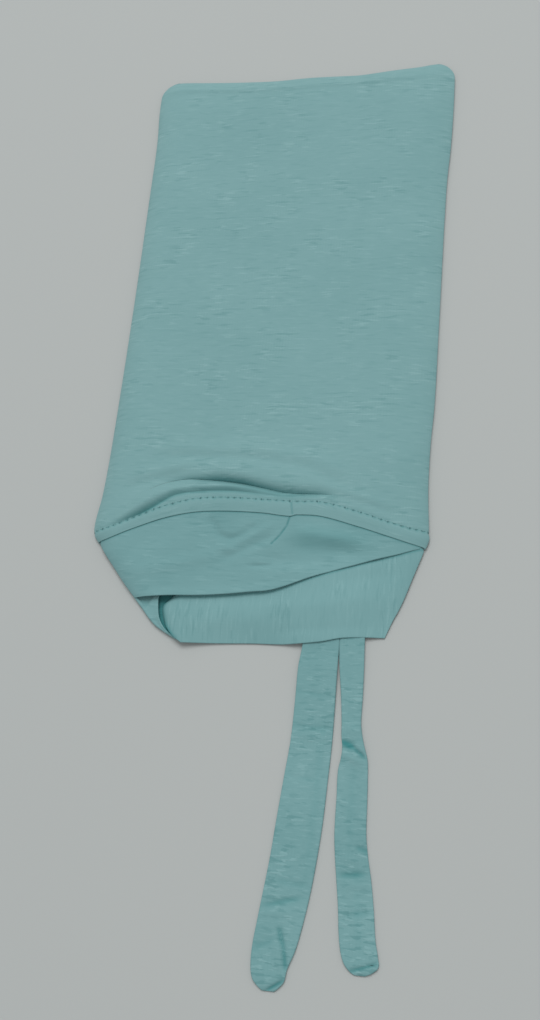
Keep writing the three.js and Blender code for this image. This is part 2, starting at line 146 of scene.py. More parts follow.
def curves(*rows):
    """Reads a short table, whose first column is the place, as a smooth curve for each other column."""
    places, *columns = np.array(rows, float).T

    def curve(values):
        slopes = np.empty_like(values)
        slopes[1:-1] = (values[2:] - values[:-2]) / (places[2:] - places[:-2])
        slopes[0] = (values[1] - values[0]) / (places[1] - places[0])
        slopes[-1] = (values[-1] - values[-2]) / (places[-1] - places[-2])

        def read(place):
            at = np.clip(place, places[0], places[-1])
            i = np.clip(np.searchsorted(places, at), 1, len(places) - 1)
            step = places[i] - places[i - 1]
            t = (at - places[i - 1]) / step
            level = values[i - 1] + (values[i] - values[i - 1]) * (3 * t**2 - 2 * t**3)
            return level + step * (slopes[i - 1] * (t**3 - 2 * t**2 + t) + slopes[i] * (t**3 - t**2))

        return read

    return [curve(values) for values in columns]


def ease(start, end, place):
    """From 0 to 1 between two places, easing in and out."""
    t = np.clip((place - start) / (end - start), 0, 1)
    return t * t * (3 - 2 * t)


def bell(distance, width):
    return np.exp(-((distance / width) ** 2))


def quarter_round(distance, width):
    """A round edge: from 0 at the edge, rising steeply, to 1 at a width inside it."""
    return np.sqrt(1 - (1 - np.clip(distance / width, 0, 1)) ** 2)


def soft_folds(x, y, rows):
    """The height of soft folds in the cloth; a row is a fold's two ends, half width and height."""
    height = np.zeros(np.broadcast(x, y).shape)
    for x0, y0, x1, y1, width, rise in rows:
        length = math.hypot(x1 - x0, y1 - y0)
        along = ((x - x0) * (x1 - x0) + (y - y0) * (y1 - y0)) / length
        aside = ((x - x0) * (y1 - y0) - (y - y0) * (x1 - x0)) / length
        inside = 2 * along / length - 1
        height = height + rise * bell(aside, width) * np.exp(-np.clip(inside, -2, 2) ** 4)
    return height


(left_fold,) = curves(
    # y, left fold
    (-76.5, -43),
    (-73.7, -49),
    (-66, -62.8),
    (-60.8, -69),
    (-54, -75),
    (-47, -81.4),
    (-36.5, -91),
    (-26, -99.6),
    (-15, -108.6),
    (-8, -113.6),
    (2, -119.2),
    (30, -117),
    (70, -116),
    (180, -116.3),
    (297, -118),
    (340, -118.8),
    (372, -121),
    (400, -121.4),
)
(right_fold,) = curves(
    # y, right fold
    (-66, 93.8),
    (-54, 98.8),
    (-47, 102.2),
    (-38, 105.8),
    (-26, 109.8),
    (-15, 113.6),
    (-8, 116),
    (0, 118.4),
    (4, 119.2),
    (40, 117.2),
    (72, 117.2),
    (105, 118.6),
    (175, 118.9),
    (287, 119.4),
    (326, 121.2),
    (367, 121.8),
    (400, 121.4),
)
(crown_height,) = curves(
    # y, height along the middle
    (-12, 11.2),
    (27, 11.4),
    (60, 11),
    (100, 9.8),
    (160, 9.1),
    (260, 9),
    (360, 8.6),
)
end_share, end_lift = curves(
    # from the closed end, share of the height, lift off the surface
    (0, 0.36, 0.9),
    (1.5, 0.42, 0.5),
    (4, 0.58, 0.1),
    (8, 0.77, 0),
    (12.5, 0.95, 0),
    (14.5, 0.9, 0),
    (20, 0.92, 0),
    (34, 1, 0),
)
front_end, front_seam, front_hem = curves(
    # x, closed end, stitched seam, hem
    (-119, 400.6, 0, -7.6),
    (-105, 402, 2.8, -4.9),
    (-86, 400.8, 10.8, 2.9),
    (-66, 399.5, 19.2, 10.6),
    (-45, 398.6, 25, 15.5),
    (-24, 398.2, 26.6, 17),
    (4, 399.5, 25.8, 16.5),
    (24, 399.4, 25, 14.5),
    (29, 399.3, 24.9, 15.7),
    (46, 399.2, 24.8, 15.1),
    (72, 402, 18.4, 8.4),
    (92, 403.8, 12.2, 2.6),
    (106, 405.6, 9, -1),
    (119, 404.6, 7.6, -3.6),
)
back_seam, back_hem = curves(
    # x, seam, hem, on the side that lies underneath
    (-119, 0, -7.6),
    (0, 2, -6.4),
    (119, 7.6, -3.6),
)
near_crease, near_rise, near_front, near_length = curves(
    # x, crease nearest the rim, height of the fold over it, length of its front and of its back
    (-119, 1, 0, 4, 9),
    (-106, 3.6, 0.3, 4, 9),
    (-97, 6.3, 1.5, 5, 10),
    (-86, 11.6, 3.1, 6, 13),
    (-80, 15, 3.5, 6.5, 12),
    (-76, 17.4, 3.4, 6.5, 11),
    (-68, 22.8, 2.8, 5.5, 7),
    (-60, 27.6, 2.3, 3.8, 4),
    (-45, 30.7, 2, 3, 2.8),
    (-21, 31.9, 2, 2.8, 2.6),
    (-9, 31.2, 1.4, 2.6, 2.3),
    (4, 29.8, 0.7, 2.4, 2),
    (17, 28.4, 0.4, 2.4, 2),
    (30, 27.9, 0, 2.4, 2),
    (60, 26.2, 0, 2.4, 2),
    (119, 11, 0, 2.4, 2),
)
main_crease, main_rise, main_front, main_dip = curves(
    # x, main crease, height of the fold over it, length of its front, depth of the crease
    (-119, 9, 0, 5, 0),
    (-90, 22, 0, 5, 0),
    (-74, 33.4, 0.6, 5, 0.1),
    (-64, 37.8, 1.3, 4.6, 0.4),
    (-51, 40.4, 2, 4, 0.8),
    (-40, 40.6, 2.5, 3.8, 1.7),
    (-29, 40.7, 2.8, 3.8, 3.4),
    (-12, 38.8, 2.8, 4.4, 3.7),
    (4, 35.4, 2.6, 5.2, 2.8),
    (17, 32.6, 2.7, 5.6, 2.8),
    (28, 31.8, 2.4, 5, 2.6),
    (40, 31.5, 1.8, 4, 2.1),
    (48, 31, 1, 3.2, 1.2),
    (55, 30.2, 0.1, 3, 0.1),
    (80, 25, 0, 3, 0),
    (119, 16, 0, 3, 0),
)
CROWN_FOLDS = (
    # x, y, x, y, half width, height
    (-98, 32, -50, 45.5, 4, -1),
    (-94, 41, -46, 53, 5, 1),
    (-74, 56.5, 2, 56.5, 4, -1),
    (-74, 64, 2, 64, 4.5, 1),
    (-6, 56.5, 36, 50, 4, -0.9),
    (-6, 64, 38, 58.5, 4.5, 0.9),
    (30, 51, 58, 39, 3.5, -0.7),
    (32, 60, 64, 47, 4.5, 0.7),
    (-10, 74, 70, 66, 6, -0.32),
    (44, 38, 92, 24, 3.2, 0.6),
    (52, 32, 100, 17, 3, -0.4),
    (60, 52, 108, 42, 6, -0.3),
    (70, 60, 112, 62, 4, 0.25),
    (-112, 92, -60, 98, 8, 0.2),
    (-90, 388, -40, 385.5, 2, 0.25),
    (-112, 381, -76, 388, 2, -0.25),
    (20, 387, 70, 390, 1.8, 0.2),
    (56, 391.5, 112, 394, 1.8, -0.35),
    (66, 388, 108, 390, 1.8, 0.25),
    (-20, 391, 40, 391, 2.2, -0.2),
)


def corner_inset(from_end):
    """The rounded corners of the closed end, as an inset of the side folds."""
    short = np.clip(CORNER - from_end, 0, CORNER)
    return CORNER - np.sqrt(CORNER**2 - short**2)


def from_side(x, y, inset=0.0):
    """How far a place is from the nearer side fold, on the right as a share of the true distance."""
    return np.minimum(x - left_fold(y) - inset, (right_fold(y) - x - inset) * RIGHT_SLOPE)


def fullness(distance):
    """How full the cap is at a distance from its side fold: 0 at the fold and 1 inside the roll."""
    return (1 - (1 - np.clip(distance / ROLL, 0, 1)) ** 3) ** 0.68


def fold_over(beyond, rise, front, back):
    """A slumped fold: its shaded front rises from the crease, and it eases away behind its crest."""
    rising = 1 - (1 - np.clip(beyond / front, 0, 1)) ** 1.7
    return rise * rising * bell(np.maximum(beyond - front, 0), back)


def pinched(beyond, before, behind):
    """How deep a crease is at a distance from it: 1 in the crease and easing to 0 on both sides."""
    return bell(np.minimum(beyond, 0), before) * bell(np.maximum(beyond, 0), behind)


def crown_painted_crease_shade(x, y):
    """How much shade is painted on a place on the crown in the two creases behind the rim, from 0 to 1.
    """
    main, near = y - main_crease(x), y - near_crease(x)
    in_main = MAIN_SHADE * main_dip(x) * pinched(main, main_front(x), MAIN_SHADE_BACK)
    in_near = NEAR_SHADE * near_rise(x) * pinched(near, *NEAR_PINCH)
    return in_main + in_near


def crown_top(x, y):
    from_end = front_end(x) - y
    full = crown_height(y) * end_share(from_end)
    side = np.minimum(SIDE_Z, THIN_SIDE * full)
    filled = fullness(from_side(x, y, corner_inset(from_end)))
    height = side + (full - side) * filled + end_lift(from_end) * (1 - filled)
    main, near = y - main_crease(x), y - near_crease(x)
    height = height + fold_over(main, main_rise(x), main_front(x), MAIN_FOLD_BACK)
    height = height + fold_over(near, near_rise(x), near_front(x), near_length(x))
    height = height - main_dip(x) * pinched(main, *MAIN_PINCH)
    height = height - NEAR_DIP * near_rise(x) * pinched(near, *NEAR_PINCH)
    height = height - HEM_DROP * (1 - ease(0, HEM_SLOPE, y - front_hem(x))) * filled
    return height + soft_folds(x, y, CROWN_FOLDS) * filled


def crown_under(x, y):
    from_end = front_end(x) - y
    side = np.minimum(SIDE_Z, THIN_SIDE * crown_height(y) * end_share(from_end))
    over_rim = RIM_LIFT * (1 - ease(*RIM_EASE, y - back_seam(x)))
    inside = from_side(x, y, corner_inset(from_end))
    flat = side * (1 - quarter_round(inside, UNDER_ROLL)) + end_lift(from_end)
    return np.maximum(flat, over_rim)


def shifted(line, offset):
    return lambda x: line(x) + offset


def between(start, end, share):
    return lambda x: start(x) + (end(x) - start(x)) * share


def lines_between(start, end, count, crowd=1.0):
    """Lines across the cap from start up to end, closer together near start when crowd is over 1."""
    return [between(start, end, (step / count) ** crowd) for step in range(count)]


def underneath(line):
    """The same line where it goes on under the cap from one side fold to the other."""
    share = (line(SIDES) - back_seam(SIDES)) / (front_end(SIDES) - back_seam(SIDES))
    return lambda x: back_seam(x) + (front_end(x) - back_seam(x)) * np.interp(x, SIDES, share)


def places_round(count, crowd):
    """Places right round the cap from under its middle, as shares of its width, and which are on top."""
    half_way = 1 - (1 - np.linspace(0, 1, count + 1)[1:]) ** crowd
    over = np.concatenate([-half_way[::-1], [0], half_way])
    share = np.concatenate([over[count:0:-1], over, over[2 * count - 1 : count - 1 : -1]])
    on_top = np.zeros(len(share), bool)
    on_top[count : 3 * count + 1] = True
    return share, on_top


def round_cap(places, top_line, under_line, shut=False):
    """A ring of the cap's outside: under its left side, over the top and back under the right."""
    share, on_top = places
    x = np.zeros(len(share))
    for _ in range(TURNS):
        y = np.where(on_top, top_line(x), under_line(x))
        inset = corner_inset(front_end(x) - y)
        left, right = left_fold(y) + inset, right_fold(y) - inset
        x = left + (right - left) * (share + 1) / 2
    top, under = crown_top(x, y), crown_under(x, y)
    middle = (top + under) / 2
    closing = 0 if shut else quarter_round(front_end(x) - y, NOSE)
    z = middle + (np.where(on_top, top, under) - middle) * closing
    return np.stack([x, y, z], axis=1)


def inward(ring, depth):
    """A ring of points, moved towards its inside in its own upright plane."""
    step = np.diff(np.concatenate([ring[-2:-1], ring, ring[1:2]]), axis=0)
    step = step[1:] + step[:-1]
    side = np.stack([step[:, 2], np.zeros(len(ring)), -step[:, 0]], axis=1)
    length = np.maximum(np.linalg.norm(side, axis=1, keepdims=True), 0.000001)
    return ring + side / length * np.reshape(depth, (-1, 1))


def run(points, axis):
    """Distances along a grid of points, from its first row or column."""
    steps = np.linalg.norm(np.diff(points, axis=axis), axis=2)
    start = np.zeros_like(np.take(steps, [0], axis=axis))
    return np.concatenate([start, np.cumsum(steps, axis=axis)], axis=axis)


def laid_out(points, anchor):
    """Flat places of a grid of cloth: along each row from an anchor column, and along the cap."""
    across = run(points, 1)
    across = across - across[:, anchor : anchor + 1] + points[:, anchor : anchor + 1, 0]
    return np.stack([across, points[:, :, 1]], axis=2)


def sew(name, points, cloth, painted_shade):
    """Lays a grid of jersey through points and sews up what meets. Its flat places are kept as a UV
    map, and the shade painted on each point, from 0 to 1, as an attribute."""
    near, far = points[:-1], points[1:]
    corners = near[:, :-1], near[:, 1:], far[:, 1:], far[:, :-1]
    volume = sum((corners[0] * np.cross(corners[i], corners[i + 1])).sum() for i in (1, 2))
    if volume < 0:
        points, cloth, painted_shade = points[:, ::-1], cloth[:, ::-1], painted_shade[:, ::-1]
    rows, columns = points.shape[:2]
    bpy.ops.object.select_all(action="DESELECT")
    bpy.ops.mesh.primitive_grid_add(x_subdivisions=columns - 1, y_subdivisions=rows - 1, size=1)
    piece = bpy.context.object
    piece.name = name
    piece.data.name = name
    placed = points.reshape(-1, 3) * 0.001 + np.array([0, MOUTH_Y, 0])
    piece.data.vertices.foreach_set("co", placed.astype(np.float32).ravel())
    corner = np.zeros(len(piece.data.loops), np.int32)
    piece.data.loops.foreach_get("vertex_index", corner)
    flat = cloth.reshape(-1, 2)[corner] * 0.001
    piece.data.uv_layers.active.name = "cloth"
    piece.data.uv_layers["cloth"].data.foreach_set("uv", flat.astype(np.float32).ravel())
    crease = piece.data.attributes.new("crease", "FLOAT", "POINT")
    crease.data.foreach_set("value", np.clip(painted_shade, 0, 1).astype(np.float32).ravel())
    bpy.ops.object.mode_set(mode="EDIT")
    bpy.ops.mesh.select_all(action="SELECT")
    bpy.ops.mesh.remove_doubles(threshold=0.000002)
    bpy.ops.object.mode_set(mode="OBJECT")
    bpy.ops.object.shade_smooth()
    return piece


def jersey(name, low, high, slub=1.0, ribs=1.0, wear=1.0, yarn=1.0, lengthwise=False):
    """Slub jersey: fine ribs, crossed by uneven thick and thin yarns. Its colours run from low to high,
    and painted shade darkens them in creases and under other parts."""
    material = bpy.data.materials.new(name)
    material.use_nodes = True
    nodes, link = material.node_tree.nodes, material.node_tree.links.new
    shader = nodes["Principled BSDF"]
    shader.inputs["Roughness"].default_value = 0.88
    shader.inputs["Specular IOR Level"].default_value = 0.25
    shader.inputs["Sheen Weight"].default_value = 0.12
    shader.inputs["Sheen Roughness"].default_value = 0.5
    cloth = nodes.new("ShaderNodeUVMap")
    cloth.uv_map = "cloth"
    grain = nodes.new("ShaderNodeMapping")
    grain.inputs["Rotation"].default_value = (0, 0, math.pi / 2 if lengthwise else 0)
    link(cloth.outputs["UV"], grain.inputs["Vector"])

    def yarns(length, width, detail, offset):
        """Noise drawn out along the yarn; length and width are the size of a patch in millimetres."""
        stretched = nodes.new("ShaderNodeMapping")
        stretched.inputs["Location"].default_value = (offset, offset, 0)
        stretched.inputs["Scale"].default_value = (1000 / length, 1000 / width, 1)
        noise = nodes.new("ShaderNodeTexNoise")
        noise.noise_dimensions = "2D"
        noise.inputs["Scale"].default_value = 1
        noise.inputs["Detail"].default_value = detail
        link(grain.outputs["Vector"], stretched.inputs["Vector"])
        link(stretched.outputs["Vector"], noise.inputs["Vector"])
        return noise.outputs["Fac"]

    def only_above(value, start, end):
        ranged = nodes.new("ShaderNodeMapRange")
        ranged.interpolation_type = "SMOOTHSTEP"
        ranged.inputs["From Min"].default_value = start
        ranged.inputs["From Max"].default_value = end
        link(value, ranged.inputs["Value"])
        return ranged.outputs["Result"]

    def total(*terms):
        """Half, and each term's value, less its middle, times its weight."""
        sum_so_far = None
        start = 0.5 - sum(middle * weight for _, middle, weight in terms)
        for value, _, weight in terms:
            weighed = nodes.new("ShaderNodeMath")
            weighed.operation = "MULTIPLY_ADD"
            link(value, weighed.inputs[0])
            weighed.inputs[1].default_value = weight
            if sum_so_far is None:
                weighed.inputs[2].default_value = start
            else:
                link(sum_so_far, weighed.inputs[2])
            sum_so_far = weighed.outputs["Value"]
        return sum_so_far

    patches = only_above(yarns(34, 26, 2, 5.7), 0.42, 0.68)
    crowds = nodes.new("ShaderNodeMath")
    crowds.operation = "MULTIPLY_ADD"
    link(patches, crowds.inputs[0])
    crowds.inputs[1].default_value = 0.9
    crowds.inputs[2].default_value = 0.45

    def in_crowds(value):
        crowded_yarn = nodes.new("ShaderNodeMath")
        crowded_yarn.operation = "MULTIPLY"
        link(value, crowded_yarn.inputs[0])
        link(crowds.outputs["Value"], crowded_yarn.inputs[1])
        return crowded_yarn.outputs["Value"]

    thick_yarn = in_crowds(only_above(yarns(14 * yarn, 1.9, 2, 0), 0.56, 0.68))
    thin_yarn = in_crowds(only_above(yarns(16 * yarn, 2.2, 2, 7.1), 0.56, 0.69))
    fine_yarn = yarns(9 * yarn, 1.3, 2, 3.3)
    mottle = yarns(70, 45, 3, 11.9)
    wales = nodes.new("ShaderNodeTexWave")
    wales.wave_type = "BANDS"
    wales.bands_direction = "X"
    wales.inputs["Scale"].default_value = 0.31416 / RIB_PITCH
    wales.inputs["Distortion"].default_value = 0.6
    wales.inputs["Detail Scale"].default_value = 1.5
    link(grain.outputs["Vector"], wales.inputs["Vector"])
    rib = nodes.new("ShaderNodeMath")
    rib.operation = "MULTIPLY"
    link(wales.outputs["Fac"], rib.inputs[0])
    link(patches, rib.inputs[1])

    colours = nodes.new("ShaderNodeValToRGB")
    colours.color_ramp.elements[0].color = (*low, 1)
    colours.color_ramp.elements[1].color = (*high, 1)
    shade = total(
        (thick_yarn, 0.12, 0.34 * slub),
        (thin_yarn, 0.12, -0.36 * slub),
        (fine_yarn, 0.5, 0.22 * slub),
        (rib.outputs["Value"], 0.2, 0.08 * ribs),
        (mottle, 0.5, 0.35 * wear),
    )
    link(shade, colours.inputs["Fac"])
    # Painted shade: the attribute from sew() darkens the colour in creases and under other parts.
    crease = nodes.new("ShaderNodeAttribute")
    crease.attribute_name = "crease"
    painted_shade_mix = nodes.new("ShaderNodeMixRGB")
    painted_shade_mix.blend_type = "MULTIPLY"
    painted_shade_mix.inputs["Color2"].default_value = (*FULL_PAINTED_SHADE, 1)
    link(crease.outputs["Fac"], painted_shade_mix.inputs["Fac"])
    link(colours.outputs["Color"], painted_shade_mix.inputs["Color1"])
    link(painted_shade_mix.outputs["Color"], shader.inputs["Base Color"])
    raised = total(
        (thick_yarn, 0, 0.5 * slub),
        (fine_yarn, 0.5, 0.3 * slub),
        (rib.outputs["Value"], 0, 0.35 * ribs),
    )
    bump = nodes.new("ShaderNodeBump")
    bump.inputs["Strength"].default_value = 0.5
    bump.inputs["Distance"].default_value = 0.00025
    link(raised, bump.inputs["Height"])
    link(bump.outputs["Normal"], shader.inputs["Normal"])
    return material


def finish_piece(piece, node, material):
    piece.data.materials.append(material)
    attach(piece, "root")
    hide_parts(node)


def past_folds(x):
    return PAST_FOLDS + 0 * x


crown_places = places_round(CROWN_HALF, 1.8)
crown_lines = [
    *lines_between(shifted(front_seam, -1), near_crease, 12),
    *lines_between(near_crease, main_crease, 20, 1.3),
    *lines_between(main_crease, past_folds, 24, 2.1),
    *lines_between(past_folds, shifted(front_end, -FAR_PART), 60),
    *lines_between(shifted(front_end, -FAR_PART), shifted(front_end, -NOSE), 24),
]
nose_lines = [
    shifted(front_end, -NOSE * (1 - math.cos(math.radians(angle)))) for angle in range(90, -1, -15)
]


def crown_row(line, wall=0.0, shut=False):
    """One row of the crown's cloth, right round; a row of its inside lies a wall below the face."""
    ring = round_cap(crown_places, line, line if shut else underneath(line), shut)
    x, y = ring[:, 0], ring[:, 1]
    on_top = crown_places[1]
    hemmed = 1 - ease(*HEMMED, y - np.where(on_top, front_seam(x), back_seam(x)))
    inside = from_side(x, y, corner_inset(front_end(x) - y))
    wall = wall * (SIDE_WALL + (1 - SIDE_WALL) * ease(0, SIDE_WALL_EASE, inside))
    wall = wall * (1 - (1 - HEM_WALL) * hemmed)
    hang = np.clip((y - main_crease(x)) / main_front(x), 0, 1)
    lean = MAIN_LEAN * np.minimum(1, main_rise(x) / LEANS_FROM)
    # The root, times what is left of the way to the crest, is 1 / 2.6 at its greatest
    ring[:, 1] -= on_top * lean * 2.6 * np.sqrt(hang) * (1 - hang)
    return ring if shut else inward(ring, wall + UNDER_RIM * hemmed)


lining = [crown_row(line, JERSEY) for line in crown_lines[:-LINING_STOP:2]]
lining.append(crown_row(shifted(front_end, -LINING_END), shut=True))
crown_grid = np.array(lining[::-1] + [crown_row(line) for line in crown_lines + nose_lines])
outside = (np.arange(len(crown_grid)) >= len(lining))[:, None] & crown_places[1]
# Shade is painted on the crown's outside, in its two creases behind the rim.
crown_painted_shade = crown_painted_crease_shade(crown_grid[:, :, 0], crown_grid[:, :, 1]) * outside
crown = sew("crown_jersey", crown_grid, laid_out(crown_grid, 2 * CROWN_HALF), crown_painted_shade)
finish_piece(crown, "crown", jersey("crown jersey", CROWN_LOW, CROWN_HIGH, slub=0.85))


# Rim: a strip of the same jersey folded in half along its length over the crown's raw edge, and
# held by a coverstitch, whose thread draws the cloth down into a row of small pits.
STRIP = 0.42  # one layer of the strip
PUSHED_THROUGH = 0.45  # share of a dent in a cloth's face that shows on its back
RIM_OVERLAP = 0.9  # the strip's outer edge lies this far past the line of stitches
RIM_OUT = -0.02  # the middle of the outer layer, from the crown's outside
RIM_IN = -0.48  # the middle of the inner layer at the hem
RIM_IN_AT_SEAM = -1.1
RIM_TURN = (RIM_OUT - RIM_IN) / 2
RIM_PUFF = 0.3  # how far the outer layer stands up between the hem and the stitches
RIM_PUFF_BELOW = 0.08  # and on the back
HEM_ROUND = 0.7  # how far the round of the hem reaches
RIM_HALF = 200  # columns of the strip on each side of the middle of the front
STITCH_PITCH = 4.9
RIM_STITCHES = 98
PIT_DEPTH = 0.6
PIT_WIDTH = 1.5
DEEPEST_PIT = 0.5
UNEVEN_PITS = 0.25  # how much the pits differ in depth
GROOVE_DEPTH = 0.12
GROOVE_WIDTH = 0.6
JOIN_X = 26.4  # the strip's two ends meet in a slanting line through this place
JOIN_Y = 14
JOIN_SLANT = 0.17
JOIN_DEPTH = 0.5
JOIN_WIDTH = 0.6
THREAD = 1.15  # radius of the largest knot of thread in a pit
THREAD_SUNK = 0.62  # depth of its middle below the bottom of the pit
KNOT_SHAPE = (0.95, 1.35, 0.85)
KNOT_ASTRAY = 0.14  # how far a knot lies beside its pit, as a share of the pitch
UNEVEN_KNOTS = 0.16
# The thread's colours are painted dark, so that the knots also stand for the shade in the pits.
THREAD_AND_PIT_SHADE_LOW = (0.045, 0.14, 0.15, 1)
THREAD_AND_PIT_SHADE_HIGH = (0.095, 0.24, 0.25, 1)
STRAND_SCALE = 900
ROUND_EDGE = np.array([0, 0.05, 0.15, 0.35, 0.7])  # places on the round of a free edge


def facing(points):
    """The way that each point of a grid of cloth faces."""
    closed = np.allclose(points[:, 0], points[:, -1], atol=0.00001)
    before, after = (points[:, -2:-1], points[:, 1:2]) if closed else (points[:, :1], points[:, -1:])
    beside = np.concatenate([before, points, after], axis=1)
    across = beside[:, 2:] - beside[:, :-2]
    beyond = np.concatenate([points[:1], points, points[-1:]])
    along = beyond[2:] - beyond[:-2]
    way = np.cross(across, along)
    return way / np.linalg.norm(way, axis=2, keepdims=True)


def thicken(points, thickness, pressed=0.0):
    """Gives a grid of cloth its thickness, with round free edges; its face is pushed in by pressed."""
    half = thickness / 2
    along = run(points, 0)
    from_edge = np.minimum(along, along[-1] - along)
    if not np.allclose(points[:, 0], points[:, -1], atol=0.00001):
        across = run(points, 1)
        from_edge = np.minimum(from_edge, np.minimum(across, across[:, -1:] - across))
    rounded = quarter_round(from_edge, half)
    out = facing(points)
    face = points + out * (rounded * (half - pressed))[:, :, None]
    back = points - out * (rounded * (half + PUSHED_THROUGH * pressed))[:, :, None]
    return np.concatenate([face, back[::-1]])


def both_faces(cloth):
    return np.concatenate([cloth, cloth[::-1]])


rim_places = places_round(RIM_HALF, 1.3)
rim_on_top = rim_places[1]


def rim_row(out, line):
    """A row of the strip's middle; its line is made from the seam and the hem, in front and behind."""
    front, back = line(front_seam, front_hem), line(back_seam, back_hem)
    return inward(round_cap(rim_places, front, back), -out)


# The strip's middle, from its edge inside the mouth, down to the hem, round it and up to the stitches
rim_rows = [rim_row(RIM_IN_AT_SEAM, lambda seam, hem: shifted(seam, -step)) for step in ROUND_EDGE]
for share in np.linspace(0, 1, 9)[1:]:
    out = RIM_IN_AT_SEAM + (RIM_IN - RIM_IN_AT_SEAM) * ease(0, 1, share)
    rim_rows.append(
        rim_row(out, lambda seam, hem: between(shifted(seam, -HEM_ROUND), shifted(hem, HEM_ROUND), share))
    )
for angle in range(165, 10, -15):
    turn = math.radians(angle)
    out = (RIM_OUT + RIM_IN) / 2 + RIM_TURN * math.cos(turn)
    rim_rows.append(rim_row(out, lambda seam, hem: shifted(hem, HEM_ROUND - HEM_ROUND * math.sin(turn))))
face_start = len(rim_rows)
for share in np.linspace(0, 1, 17):
    out = RIM_OUT + np.where(rim_on_top, RIM_PUFF, RIM_PUFF_BELOW) * math.sin(math.pi * share) ** 0.8
    rim_rows.append(
        rim_row(out, lambda seam, hem: between(shifted(hem, HEM_ROUND), shifted(seam, -1.2), share))
    )
for reach in (-0.9, -0.6, -0.3, 0, 0.2):
    rim_rows.append(rim_row(RIM_OUT, lambda seam, hem: shifted(seam, reach)))
for step in ROUND_EDGE[::-1]:
    sunk = 0.25 * (1 - step / ROUND_EDGE[-1])
    rim_rows.append(rim_row(RIM_OUT - sunk, lambda seam, hem: shifted(seam, RIM_OVERLAP - step)))
rim_grid = np.array(rim_rows)
rim_x, rim_y = rim_grid[:, :, 0], rim_grid[:, :, 1]
rim_cloth = laid_out(rim_grid, 2 * RIM_HALF)
rim_cloth[:, :, 1] = run(rim_grid, 0)
from_seam = rim_y - np.where(rim_on_top, front_seam(rim_x), back_seam(rim_x))
is_face = (np.arange(len(rim_rows)) >= face_start)[:, None]
round_rim = run(rim_grid, 1)
round_rim = round_rim / round_rim[:, -1:]
stitch_place = round_rim * RIM_STITCHES
to_stitch = (stitch_place - np.round(stitch_place)) * STITCH_PITCH
pit = PIT_DEPTH * bell(np.hypot(to_stitch, from_seam), PIT_WIDTH)
join = JOIN_DEPTH * bell(rim_x - JOIN_X + JOIN_SLANT * (rim_y - JOIN_Y), JOIN_WIDTH) * rim_on_top
stitch_number = np.round(stitch_place) % RIM_STITCHES
uneven = 1 - UNEVEN_PITS + UNEVEN_PITS * np.sin(stitch_number * 2.4) * np.sin(stitch_number * 0.9)
groove = GROOVE_DEPTH * bell(from_seam, GROOVE_WIDTH)
pressed = is_face * np.minimum(DEEPEST_PIT, pit * uneven + groove + join)
# The depth of the pits, the groove and the join is also painted into the strip's colour as shade.
rim = sew("rim_strip", thicken(rim_grid, STRIP, pressed), both_faces(rim_cloth), both_faces(pressed))
finish_piece(rim, "rim_binding", jersey("rim jersey", CROWN_LOW, CROWN_HIGH, slub=0.5, ribs=0.4))

stitch_row = int(np.argmin(np.abs(from_seam[face_start:, 2 * RIM_HALF]))) + face_start
rim_out = facing(rim_grid)[stitch_row]
knot_places = rim_grid[stitch_row] + rim_out * (STRIP / 2 - THREAD_SUNK - pressed[stitch_row])[:, None]
bpy.ops.object.select_all(action="DESELECT")
bpy.ops.mesh.primitive_uv_sphere_add(segments=8, ring_count=6, radius=THREAD * 0.001)
knot = bpy.context.object
knot.scale = KNOT_SHAPE
bpy.ops.object.transform_apply(scale=True)
bpy.ops.object.shade_smooth()
knots = [knot]
for stitch in range(1, RIM_STITCHES):
    knots.append(knot.copy())
    knots[-1].data = knot.data.copy()
    bpy.context.collection.objects.link(knots[-1])
for stitch, knot in enumerate(knots):
    astray = KNOT_ASTRAY * math.sin(stitch * 1.7)
    column = np.argmin(np.abs(stitch_place[stitch_row] - stitch - astray))
    knot.location = knot_places[column] * 0.001 + np.array([0, MOUTH_Y, 0])
    knot.scale = [1 - UNEVEN_KNOTS + UNEVEN_KNOTS * math.sin(stitch * 2.4) * math.sin(stitch * 0.9)] * 3
    knot.select_set(True)
bpy.context.view_layer.objects.active = knots[0]
bpy.ops.object.join()
bpy.ops.object.transform_apply(location=True, scale=True)
thread = bpy.context.object
thread.name = "rim_stitches"
thread.data.name = "rim_stitches"
cotton = bpy.data.materials.new("coverstitch thread and pit shade")
cotton.use_nodes = True
cotton_nodes, cotton_link = cotton.node_tree.nodes, cotton.node_tree.links.new
cotton_shader = cotton_nodes["Principled BSDF"]
cotton_shader.inputs["Roughness"].default_value = 0.7
strands = cotton_nodes.new("ShaderNodeTexNoise")
strands.inputs["Scale"].default_value = STRAND_SCALE
strand_colours = cotton_nodes.new("ShaderNodeValToRGB")
strand_colours.color_ramp.elements[0].color = THREAD_AND_PIT_SHADE_LOW
strand_colours.color_ramp.elements[1].color = THREAD_AND_PIT_SHADE_HIGH
cotton_link(cotton_nodes.new("ShaderNodeTexCoord").outputs["Object"], strands.inputs["Vector"])
cotton_link(strands.outputs["Fac"], strand_colours.inputs["Fac"])
cotton_link(strand_colours.outputs["Color"], cotton_shader.inputs["Base Color"])
thread.data.materials.append(cotton)
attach(thread, "root")


